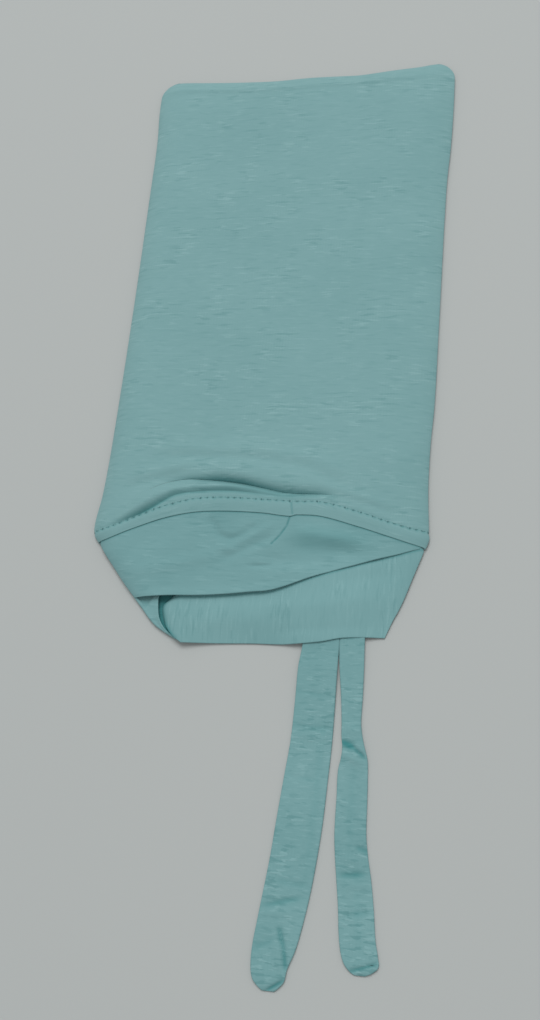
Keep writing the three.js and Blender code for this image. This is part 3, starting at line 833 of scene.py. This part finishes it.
# Inner cross band: the upper of the two bands of jersey that cross under the mouth. It is broad at
# its left, where it turns round the cap's side, and runs to a point at its right; sewn in at the rim.
BAND = 1.1
HIDDEN_EDGE = 4  # the band's upper edge stops this far below the stitches, under the rim
SIDE_GAP = 0.2  # how far a band's ends stay inside the side folds
END_GAP = 3  # and how much further under the rim
INNER_SIDE_Z = 2.5
INNER_TUCK = 1.1  # how far its ends are lower inside the rim
INNER_LIFT = 0.7  # how far its free edge stands up on the left
INNER_LIFT_ENDS = 60  # x from which it lies down
INNER_LIFT_SLOPE = 7
SEAM_WIDTH = 0.6  # of the seam that curves down across the band
SEAM_DEPTH = 0.7
HEM_SHADOW_PAINTED = 0.55  # how much shadow is painted on the band's colour along the rim's hem
HEM_SHADE = (0.3, 0.8)  # how far below the hem that line lies, and its width
SETTLING = 16  # rounds in which a cloth's places settle between its edges
INNER_ANCHOR = 80  # the column from which its flat places are laid out
# The same jersey as the crown, painted darker for the shade under the rim that the band lies in.
INNER_SHADED_LOW = (0.151, 0.331, 0.342)
INNER_SHADED_HIGH = (0.232, 0.437, 0.45)

(inner_edge_line,) = curves(
    # x, free edge of the inner band
    (-78, -46.8),
    (-69.6, -46.2),
    (-53, -45),
    (-33.6, -44.2),
    (-14, -42.4),
    (1.8, -40.3),
    (14, -38.8),
    (23.5, -35.9),
    (33, -32),
    (42, -28.3),
    (54, -24.1),
    (69.2, -19.3),
    (84, -14.5),
    (99.3, -9.8),
    (110, -5.7),
    (116, -3.6),
)
inner_top, outer_top = curves(
    # y, tops of the inner and outer bands along the middle
    (-80, 8.6, 6.9),
    (-45, 8.7, 7.2),
    (-25, 9, 7.6),
    (-9, 9.55, 8),
    (27, 9.85, 8.2),
)
INNER_FOLDS = (
    # x, y, x, y, half width, height
    (-32, 12, -25, -0.5, 2.2, -1.7),
    (-25.5, 0, -15, -3.7, 2.4, -1.7),
    (-17, -3.7, -6, 0.8, 2.4, -1.5),
    (-7, 0, -1, 7.5, 2.2, -1.5),
    (-24, -9.5, -12, -11, 3, 1),
    (-11, -6.5, 12, 7.5, 2.4, 1),
    (-20, -18, -5, -11, 3, -0.9),
    (-7, -11.5, 14, 0.5, 2.6, -1.2),
    (-1, -22, 14, -21, 1.5, -1.2),
    (-82, -29, -22, -15, 5, 0.9),
    (-92, -18, -60, 4, 7, -0.6),
    (30, 4, 72, -2.5, 5, 2),
    (20, -8, 78, -11, 6, -2.3),
    (8, -17, 58, -18, 6, -2.2),
    (20, -24, 50, -22, 5, 0.7),
    (-50, 8, -30, -20, 6, 0.5),
)
HOLLOW_SHADE_PAINTED = (
    # x, y, x, y, half width, how much shade is painted on the cloth in the soft hollow on the right
    (26, 0, 82, -3, 8.5, 0.26),
)
INNER_SEAM = (
    # x, y: points of the seam that curves down across the band
    (24.4, 14.5),
    (22.7, 7.4),
    (18.5, 0.5),
    (14.2, -4.3),
    (12.6, -6),
)


def spread(inner):
    """Places from one free edge of a cloth to the other: a share of the width, and millimetres more."""
    share = np.concatenate([0 * ROUND_EDGE, inner, 0 * ROUND_EDGE + 1])
    more = np.concatenate([ROUND_EDGE, 0 * inner + ROUND_EDGE[-1], 2 * ROUND_EDGE[-1] - ROUND_EDGE[::-1]])
    return share, more


def patch(left, right, low, high, columns, rows):
    """The places of a piece of cloth between its left and right ends and its low and high edges."""
    (share_x, more_x), (share_y, more_y) = columns, rows
    share_y, more_y = share_y[:, None], more_y[:, None]
    edges = 2 * ROUND_EDGE[-1]
    x = np.zeros((len(share_y), len(share_x)))
    for _ in range(SETTLING):
        y = low(x) + share_y * (high(x) - low(x) - edges) + more_y
        x = left(y) + share_x * (right(y) - left(y) - edges) + more_x
    return x, y


def crowded(count, crowd):
    """Shares of the way across, closer together towards both ends."""
    t = np.linspace(-1, 1, count + 2)[1:-1]
    return (1 + np.sign(t) * (1 - (1 - np.abs(t)) ** crowd)) / 2


def end_inset(start, end, y):
    """How far a band's end lies inside the side fold; it moves in under the rim from start to end."""
    return SIDE_GAP + END_GAP * ease(start, end, y)


x, y = patch(
    lambda y: left_fold(y) + end_inset(-9.5, -5, y),
    lambda y: right_fold(y) - end_inset(-9.5, -5, y),
    inner_edge_line,
    shifted(front_seam, -HIDDEN_EDGE),
    spread(np.sort(np.concatenate([crowded(130, 1.6), np.linspace(0.55, 0.64, 34)]))),
    spread(crowded(90, 1.2)),
)
side = INNER_SIDE_Z - INNER_TUCK * ease(-15, -9, y)
filled = fullness(from_side(x, y))
z = side + (inner_top(y) - side) * filled + soft_folds(x, y, INNER_FOLDS) * filled
lifted = (1 - ease(0, INNER_LIFT_ENDS, x)) * (1 - ease(0, INNER_LIFT_SLOPE, y - inner_edge_line(x)))
z = z + INNER_LIFT * lifted * filled
inner_grid = np.stack([x, y, z], axis=2)
inner_grid = inner_grid - facing(inner_grid) * BAND / 2
seam_rows = [(*start, *end, SEAM_WIDTH, SEAM_DEPTH) for start, end in zip(INNER_SEAM, INNER_SEAM[1:])]
seam_dent = np.minimum(soft_folds(x, y, seam_rows), SEAM_DEPTH)
# Painted shadow along the rim's hem, and painted shade in the seam's dent and the soft hollow on the
# right.
painted_hem_shadow = HEM_SHADOW_PAINTED * bell(y - front_hem(x) + HEM_SHADE[0], HEM_SHADE[1])
painted_hollow_shade = soft_folds(x, y, HOLLOW_SHADE_PAINTED)
inner_jersey = jersey("inner band jersey", INNER_SHADED_LOW, INNER_SHADED_HIGH, slub=0.7, ribs=0.5, wear=2)
inner_band = sew(
    "inner_band_jersey",
    thicken(inner_grid, BAND, seam_dent),
    both_faces(laid_out(inner_grid, INNER_ANCHOR)),
    both_faces(np.maximum(seam_dent, painted_hem_shadow) + painted_hollow_shade),
)
finish_piece(inner_band, "inner_cross_band", inner_jersey)


# Outer cross band: the lower of the two. It is broad at its right, passes under the inner band to
# the left, and its left end is turned down into the ring that the bands make with the nape band.
OUTER_LOW = (0.165, 0.355, 0.367)
OUTER_HIGH = (0.253, 0.469, 0.482)
OUTER_SIDE_Z = 1.4  # height of its side folds
OUTER_CORNER_Z = 4.5  # and at its lower left corner
OUTER_LEFT_ROLL = 9
OUTER_FALL = 26  # width over which the band falls to its lower edge
OUTER_OVERLAP = 5  # it reaches at least this far under the inner band
OUTER_HOLLOW = 1.2  # how far it sinks on the left where the inner band's edge lies over it
OUTER_END_SHADE = 2.4  # width of the shade painted where the left end turns down
EDGE_SHADOW_PAINTED = 0.6  # how much shadow is painted on the colour along the inner band's edge
EDGE_SHADE = (0.4, 0.9)  # how far below the edge that line lies, and its width
OUTER_ANCHOR = 70
outer_low, outer_high = curves(
    # x, folded lower edge, hidden upper edge
    (-43, -76.6, -34),
    (-17, -75.3, -31),
    (5, -74.2, -27),
    (30, -73.6, -20),
    (51, -71.1, -19),
    (67, -67.6, -15.5),
    (95, -65.8, -10.6),
    (116, -65, -6),
)
(outer_left,) = curves(
    # y, left end
    (-76.7, -43.6),
    (-72.3, -50.4),
    (-65.6, -56),
    (-58, -59.4),
    (-51, -60),
    (-45.5, -55),
    (-38, -51),
)
(outer_edge_z,) = curves(
    # x, height of the lower edge: it lies on the table, and over the nape band's fold and the ties
    (-50, 4.9),
    (-43, 4.7),
    (-32, 3),
    (-18, 1.5),
    (24, 1.5),
    (38, 3.9),
    (82, 3.9),
    (93, 1.6),
    (116, 1.5),
)
OUTER_FOLDS = (
    # x, y, x, y, half width, height
    (-40, -62, 20, -58, 6, 0.6),
    (30, -50, 90, -40, 8, 0.8),
    (60, -30, 104, -22, 5, -0.5),
    (40, -17, 90, -11, 4, -1.2),
    (20, -66, 80, -60, 4, -0.4),
    (-5, -46, -7, -70, 1.6, -0.4),
)

x, y = patch(
    outer_left,
    lambda y: right_fold(y) - end_inset(-5.5, -2, y),
    outer_low,
    lambda x: np.maximum(outer_high(x), inner_edge_line(x) + OUTER_OVERLAP),
    spread(crowded(130, 1.7)),
    spread(crowded(50, 1.3)),
)
at_right = fullness((right_fold(y) - x) * RIGHT_SLOPE)
at_left = quarter_round(x - outer_left(y), OUTER_LEFT_ROLL)
at_corner = OUTER_CORNER_Z + (OUTER_SIDE_Z - OUTER_CORNER_Z) * ease(-70, -61, y)
side = np.where(x > 0, OUTER_SIDE_Z, at_corner)
filled = np.minimum(at_right, at_left)
edge_z = outer_edge_z(x)
fallen = (1 - np.clip((y - outer_low(x)) / OUTER_FALL, 0, 1)) ** 1.4
full = outer_top(y) + (edge_z - outer_top(y)) * fallen
side = np.minimum(side, edge_z)
z = side + (full - side) * filled + soft_folds(x, y, OUTER_FOLDS) * filled
z = z - OUTER_HOLLOW * (1 - ease(0, 50, x)) * bell(y - inner_edge_line(x) + 2, 7) * filled
outer_grid = np.stack([x, y, z], axis=2)
outer_grid = outer_grid - facing(outer_grid) * BAND / 2
# Shade is painted where the left end turns down, and a shadow under the inner band's edge.
painted_end_shade = bell(x - outer_left(y), OUTER_END_SHADE) * ease(-76, -71, y)
painted_edge_shadow = EDGE_SHADOW_PAINTED * bell(y - inner_edge_line(x) + EDGE_SHADE[0], EDGE_SHADE[1])
outer_band = sew(
    "outer_band_jersey",
    thicken(outer_grid, BAND),
    both_faces(laid_out(outer_grid, OUTER_ANCHOR)),
    both_faces(np.maximum(painted_end_shade, painted_edge_shadow)),
)
finish_piece(
    outer_band,
    "outer_cross_band",
    jersey("outer band jersey", OUTER_LOW, OUTER_HIGH, slub=0.62, ribs=0.4, wear=1.5, lengthwise=True),
)


# Nape band: the back of the ring, flat underneath. It wraps round the left side and comes back over
# itself there, where it shows past the inner band's corner as a small soft ear.
NAPE_FOLD = 1.1  # radius of the wrap, to the middle of the cloth
NAPE_EDGE_BACK = 3  # its lower edge lies this far inside the outer band's
NAPE_TUCK = 2  # its upper edge stops this far below the back's seam
NAPE_SHORT = 3.6  # and its right end this far inside the side fold
NAPE_CLIMB = 2.2  # over the rim's back wall
NAPE_COLUMNS = 70
NAPE_ANCHOR = 60
EAR_CREASE = 1.8  # width of the dent beside the ear
EAR_SHADE = 0.2  # how much shade is painted into it for each millimetre of its depth
ear_edge, nape_inset, nape_rise = curves(
    # y, free edge of the ear, inset of the fold from the side, rise of its free edge
    (-76, -43.8, 0.8, 0),
    (-72, -51, 0.4, 0.6),
    (-66, -57.6, 0.3, 1.4),
    (-60, -61, 0.3, 2),
    (-54, -62.4, 0.3, 2.2),
    (-48, -63.2, 0.3, 2),
    (-42, -64.4, 0.6, 1.2),
    (-36, -78, 1, 0),
    (-26, -94, 2, 0),
    (-16, -103, 5, 0),
    (-8, -104, 9, 0),
)
ear_start, ear_dent = curves(
    # y, left boundary of the ear, depth of the cloth beside it
    (-56, -75, 0),
    (-53, -72.4, 0.5),
    (-48, -69.8, 1),
    (-44, -68, 1),
    (-38, -67, 0.5),
    (-34, -67, 0),
)

x, y = patch(
    lambda y: left_fold(y) + nape_inset(y) + NAPE_FOLD + BAND / 2,
    lambda y: right_fold(y) - NAPE_SHORT - nape_inset(y) / 2,
    shifted(outer_low, NAPE_EDGE_BACK),
    shifted(back_seam, -NAPE_TUCK),
    (np.linspace(0, 1, NAPE_COLUMNS), np.zeros(NAPE_COLUMNS)),
    spread(np.linspace(0, 1, 80)[1:-1]),
)
z = BAND / 2 + ease(-17, -11, y) * NAPE_CLIMB
flat_part = np.stack([x, y, z], axis=2)
foot = flat_part[:, :1]
wrap = [
    foot + np.array([-math.sin(turn), 0, 1 - math.cos(turn)]) * NAPE_FOLD
    for turn in np.radians(range(180, 0, -15))
]
top = wrap[0]
foot_y = foot[:, :, 1]
over = np.maximum(ear_edge(foot_y) - top[:, :, 0], 0.3)
back_over = []
painted_ear_shade = []
for share in np.concatenate([1 - ROUND_EDGE[:-1] / 12, np.linspace(0.93, 0.04, 24)]):
    over_x = top[:, :, 0] + over * share
    sunk = ear_dent(foot_y) * (1 - ease(0, EAR_CREASE, over_x - ear_start(foot_y)))
    sunk = sunk * ease(0, 2, over * share)
    over_z = top[:, :, 2] + nape_rise(foot_y) * share**2 - sunk
    painted_ear_shade.append(EAR_SHADE * sunk)
    back_over.append(np.stack([over_x, foot_y, over_z], axis=2))
nape_grid = np.concatenate([*back_over, *wrap, flat_part], axis=1)
# Shade is painted in full on the face inside the ring of bands, and into the dent beside the ear.
painted_shade_inside_ring = np.ones(nape_grid.shape[:2])
painted_shade_outside = np.zeros(nape_grid.shape[:2])
painted_shade_outside[:, : len(painted_ear_shade)] = np.concatenate(painted_ear_shade, axis=1)
nape_band = sew(
    "nape_band_jersey",
    thicken(nape_grid, BAND),
    both_faces(laid_out(nape_grid, NAPE_ANCHOR)),
    np.concatenate([painted_shade_inside_ring, painted_shade_outside[::-1]]),
)
finish_piece(nape_band, "nape_band", jersey("nape band jersey", OUTER_LOW, OUTER_HIGH))


# Ties: two long narrow tubes of jersey, turned and pressed flat, with a sewn tip. Their upper ends
# are sewn to the nape band under the cross bands, and from there they lie down onto the table.
TIE_THICK = 1.6
TIE_WALL = 0.6
TIE_TOP = -56  # y of the hidden ends
TIE_SHUT = 6  # length at the tip that is sewn up
TIE_ROW = 1.1
TIE_INNER_ROW = 4
TIP_ROUND = 1.6  # how far the round of the tip reaches, and that of the edges
EDGE_ROUND = 1.1
# The same jersey as the crown, painted a little darker as a shaded copy of it.
TIE_SHADED_LOW = (0.153, 0.338, 0.349)
TIE_SHADED_HIGH = (0.239, 0.446, 0.459)
TIE_ON_BAND = 1.15  # height of the nape band's cloth under them
TIE_SHADE = 0.62  # how much shade is painted for each millimetre of a dent
DEEPEST_DENT = 1.2
LEFT_TIE = (
    # y, left edge, right edge, thickness as a share
    (-285, 33.2, 40.8, 0.8),
    (-282.6, 29.9, 43.6, 1.1),
    (-279, 26.7, 46.4, 1.3),
    (-272, 25, 47.7, 1.3),
    (-261, 24.8, 51.7, 1.1),
    (-246, 26.4, 55, 1),
    (-229, 28.4, 57.9, 1),
    (-209, 30.7, 60.3, 1),
    (-187, 32.5, 62.2, 1),
    (-160, 34.9, 63.4, 1),
    (-136, 37.1, 64.3, 1),
    (-110, 37.8, 64.4, 1.45),
    (-88, 38, 64.3, 1.5),
    (-78, 39.1, 64.3, 1),
    (-71, 39.7, 64.3, 1),
    (-64, 39.8, 64.2, 1),
    (-56, 39.9, 64.2, 1),
)
RIGHT_TIE = (
    # y, left edge, right edge, thickness as a share
    (-270.8, 88, 94.4, 0.8),
    (-269, 85, 98.2, 1.1),
    (-265.5, 81.6, 102.1, 1.2),
    (-260, 79.2, 101.6, 1.1),
    (-250, 77.2, 99.4, 1),
    (-234, 75.5, 97.4, 1),
    (-217, 73.1, 94.7, 1),
    (-204, 71.3, 92, 1),
    (-191, 70, 90, 1.1),
    (-168, 69.6, 89.1, 1),
    (-153, 69.3, 88.4, 1.1),
    (-145, 70.6, 87.7, 1.4),
    (-138, 71, 85.6, 1.7),
    (-131, 69.9, 83.6, 1.6),
    (-122, 69.3, 82.1, 1.3),
    (-105, 67.7, 82, 1.1),
    (-89, 65.6, 81.7, 1),
    (-78, 64.6, 81.3, 1),
    (-71, 64.2, 81, 1),
    (-64, 64.3, 80.9, 1),
    (-56, 64.4, 80.8, 1),
)
LEFT_TIE_FOLDS = (
    # x, y, x, y, half width, height
    (40.5, -249, 44, -259.6, 1.4, -1.3),
    (44, -259.6, 46.6, -272, 1.4, -1.3),
    (40.4, -258, 43.4, -272, 2, 0.6),
    (36, -284.8, 46.4, -278, 1, -1.3),
    (44, -100, 42, -190, 3, 0.25),
    (58, -120, 55, -220, 2.4, -0.2),
    (38, -104, 60, -107, 1.6, -0.3),
    (36, -126, 63, -128, 2, -0.45),
    (37, -132, 60, -134, 2, 0.3),
    (36, -158, 56, -160, 1.6, -0.25),
    (30, -237, 52, -231, 1.9, -0.8),
    (28, -242, 50, -240, 2, 0.4),
    (36, -222, 56, -224, 1.8, -0.35),
    (26, -262, 38, -256, 2, -0.4),
)
RIGHT_TIE_FOLDS = (
    # x, y, x, y, half width, height
    (71, -126, 83, -128, 3, 0.8),
    (70, -134.6, 78.5, -138, 2.3, -1.9),
    (78, -138, 86, -144, 1.2, -1.3),
    (72, -142.5, 84, -147.5, 1.8, 0.8),
    (79, -150, 80, -200, 2.4, -0.2),
    (85, -210, 90, -256, 2.4, -0.2),
    (84, -198, 93, -201, 1.7, -0.8),
    (74, -205, 88, -207, 2, 0.4),
    (75, -215.5, 91, -213.5, 2, -0.9),
    (80, -222, 94, -220, 2, 0.35),
    (80, -238, 96, -235, 1.8, -0.4),
    (84, -269.4, 102, -263, 1, -1.2),
)


def tie(name, table, folds):
    """A tie's rings: the inside from near the tip to the open end, then the outside back to the tip."""
    left, right, thick = curves(*table)
    tip = table[0][0]
    over = np.concatenate([[0], crowded(31, 1.7), [1]])
    share = np.concatenate([over, over[-2::-1]])
    on_top = np.arange(len(share)) < len(over)

    def relief(x, y):
        return soft_folds(x, np.full_like(x, y), folds)

    def ring(y, depth, near_tip):
        start, end = left(y) + depth, right(y) - depth
        x = start + (end - start) * share
        from_edge = np.minimum(x - start, end - x)
        at_tip = quarter_round(y - near_tip, TIP_ROUND)
        half = (TIE_THICK * thick(y) / 2 - depth) * at_tip
        up = half * quarter_round(from_edge, EDGE_ROUND)
        floor_z = ease(-125, -73, y) * TIE_ON_BAND + TIE_THICK * thick(y) / 2
        on_face = quarter_round(from_edge, 2) * at_tip
        dents = np.maximum(relief(x, y), -DEEPEST_DENT)
        z = floor_z + np.where(on_top, up + dents * on_face, -up)
        return np.stack([x, np.full_like(x, y), z], axis=1)

    ends = tip + np.array([0, 0.06, 0.2, 0.45, 0.8, 1.2, 1.7, 2.4])
    places = np.concatenate([ends, np.arange(tip + 3.4, TIE_TOP, TIE_ROW), [TIE_TOP]])
    shut = tip + TIE_SHUT
    inner_places = np.concatenate([[shut], np.arange(shut + 2, TIE_TOP, TIE_INNER_ROW), [TIE_TOP]])
    inner = [ring(y, TIE_WALL, shut) for y in inner_places]
    grid = np.array(inner + [ring(y, 0, tip) for y in places[::-1]])
    # Shade is painted into the dents of the tie's face.
    dented = np.array([relief(row[:, 0], row[0, 1]) for row in grid]) * on_top
    return sew(name, grid, laid_out(grid, len(over) // 2), -TIE_SHADE * dented)


def tie_jersey(name):
    return jersey(name, TIE_SHADED_LOW, TIE_SHADED_HIGH, slub=1.5, yarn=0.6, wear=2)


left_tie = tie("left_tie_jersey", LEFT_TIE, LEFT_TIE_FOLDS)
finish_piece(left_tie, "left_tie", tie_jersey("left tie jersey"))
right_tie = tie("right_tie_jersey", RIGHT_TIE, RIGHT_TIE_FOLDS)
finish_piece(right_tie, "right_tie", tie_jersey("right tie jersey"))
